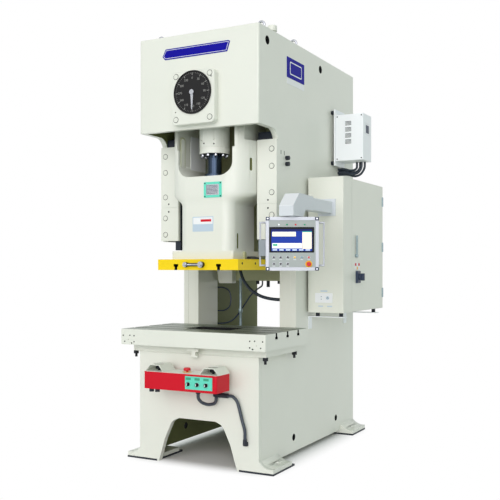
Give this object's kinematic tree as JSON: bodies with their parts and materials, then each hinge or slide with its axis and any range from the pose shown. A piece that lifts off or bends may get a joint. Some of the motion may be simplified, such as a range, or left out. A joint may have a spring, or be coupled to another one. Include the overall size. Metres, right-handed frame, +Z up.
{
  "type": "servo hydraulic press",
  "caption": "Floor-standing C-frame servo hydraulic press with guided slide, T-slotted bolster, side cabinet, swivelling operator panel and two-hand control box.",
  "frame": {"origin": "centre of the four anchor holes, on the floor", "axes": "+Z up, +X to the operator's right, -Y towards the operator"},
  "size_m": [1.4282, 1.983, 3.076],
  "materials": {
    "frame_paint": "satin cream enamel",
    "machined_steel": "cream sides, ground top",
    "black_steel": "black oxide",
    "guide_iron": "scraped dark iron",
    "dial_black": "matt black",
    "bright_steel": "bright",
    "rod_steel": "dark polished",
    "yellow_paint": "gloss safety yellow",
    "motor_paint": "grey enamel",
    "white_paint": "powder coat",
    "black_rubber": "matt",
    "grey_metal": "powder coat",
    "switch_plastic": "moulded",
    "panel_aluminium": "satin anodised",
    "stop_red": "moulded",
    "red_paint": "gloss enamel",
    "green_plastic": "engraved sheet",
    "black_plastic": "moulded",
    "galvanised_steel": "zinc"
  },
  "bodies": {
    "frame": {"side_plate_left": "frame_paint", "side_plate_right": "frame_paint", "bed_front_plate": "frame_paint", "bed_rear_plate": "frame_paint", "bed_lid": "frame_paint", "mounting_feet": "frame_paint", "bolster": "machined_steel", "bolster_studs": "black_steel", "crown_front_plate": "frame_paint", "crown_roof": "frame_paint", "crown_back_plate": "frame_paint", "column_boxes": "frame_paint", "rear_cross_plate": "frame_paint", "junction_box": "frame_paint", "slide_guides": "guide_iron", "gib_covers": "frame_paint", "frame_bolts": "frame_paint", "dial_plate": "frame_paint", "dial_face": "dial_black", "cylinder_beam": "frame_paint", "cylinder": "frame_paint", "cylinder_gland": "frame_paint", "gland_bolts": "black_steel", "lifting_eyes": "bright_steel", "roof_hatch": "frame_paint", "oil_tank": "frame_paint", "servo_pump": "motor_paint", "cabinet_shell": "frame_paint", "cabinet_brackets": "white_paint", "rubber_mounts": "black_rubber", "panel_arm": "grey_metal", "drive_box": "white_paint", "drive_cables": "black_rubber", "control_box": "red_paint", "control_top": "frame_paint", "switch_plate": "green_plastic", "control_hangers": "frame_paint", "cable_glands": "black_plastic", "control_hoses": "black_rubber", "throat_hose": "black_rubber", "rear_cables": "black_rubber", "conduit": "galvanised_steel"},
    "slide": {"slide_body": "frame_paint", "slide_plate": "yellow_paint", "shank_clamp": "bright_steel", "piston_rod": "rod_steel"},
    "pointer": {"dial_pointer": "bright_steel"},
    "door": {"cabinet_door": "frame_paint", "breaker_base": "switch_plastic"},
    "handle": {"door_handle": "grey_metal"},
    "main_switch": {"breaker_knob": "switch_plastic"},
    "panel": {"panel_housing": "panel_aluminium", "panel_trim": "panel_aluminium"},
    "panel_stop": {"panel_stop_button": "stop_red"},
    "left_palm": {"palm_button_left": "switch_plastic"},
    "right_palm": {"palm_button_right": "switch_plastic"},
    "box_stop": {"stop_button": "stop_red"},
    "key_selector": {"key_switch": "switch_plastic"},
    "mode_selector": {"mode_switch": "switch_plastic"},
    "pump_selector": {"pump_switch": "switch_plastic"}
  },
  "joints": [
    {"name": "slide_stroke", "type": "slide", "parent": "frame", "child": "slide", "axis": [0, 0, 1], "range_m": [0, 0.11]},
    {"name": "pointer_turn", "type": "hinge", "parent": "frame", "child": "pointer", "pos_m": [0, -0.93, 2.557], "axis": [0, 1, 0], "range_deg": [0, 180]},
    {"name": "door_hinge", "type": "hinge", "parent": "frame", "child": "door", "pos_m": [0.777, 0.765, 1.53], "axis": [0, 0, 1], "range_deg": [0, 110]},
    {"name": "handle_turn", "type": "hinge", "parent": "door", "child": "handle", "pos_m": [0.79, 0.136, 1.452], "axis": [1, 0, 0], "range_deg": [0, 90]},
    {"name": "main_switch_turn", "type": "hinge", "parent": "door", "child": "main_switch", "pos_m": [0.8, 0.17, 1.293], "axis": [1, 0, 0], "range_deg": [0, 90]},
    {"name": "panel_swivel", "type": "hinge", "parent": "frame", "child": "panel", "pos_m": [0.65, -0.72, 1.7], "axis": [0, 0, 1], "range_deg": [-50, 60]},
    {"name": "panel_stop_press", "type": "slide", "parent": "panel", "child": "panel_stop", "axis": [-0.4695, 0.8829, 0], "range_m": [0, 0.004], "stiffness_N_per_m": 300, "springref_m": -0.006},
    {"name": "left_palm_press", "type": "slide", "parent": "frame", "child": "left_palm", "axis": [0, 0, -1], "range_m": [0, 0.006], "stiffness_N_per_m": 400, "springref_m": -0.012},
    {"name": "right_palm_press", "type": "slide", "parent": "frame", "child": "right_palm", "axis": [0, 0, -1], "range_m": [0, 0.006], "stiffness_N_per_m": 400, "springref_m": -0.012},
    {"name": "box_stop_press", "type": "slide", "parent": "frame", "child": "box_stop", "axis": [0, 0, -1], "range_m": [0, 0.006], "stiffness_N_per_m": 400, "springref_m": -0.012},
    {"name": "key_turn", "type": "hinge", "parent": "frame", "child": "key_selector", "pos_m": [0.071, -1.095, 0.596], "axis": [0, 1, 0], "range_deg": [-45, 45]},
    {"name": "mode_turn", "type": "hinge", "parent": "frame", "child": "mode_selector", "pos_m": [0.14, -1.095, 0.596], "axis": [0, 1, 0], "range_deg": [-45, 45]},
    {"name": "pump_turn", "type": "hinge", "parent": "frame", "child": "pump_selector", "pos_m": [0.208, -1.095, 0.596], "axis": [0, 1, 0], "range_deg": [-45, 45]}
  ],
  "couplings": [
    {"joint": "pointer_turn", "follows": "slide_stroke", "rad_per_m": 28.56}
  ]
}
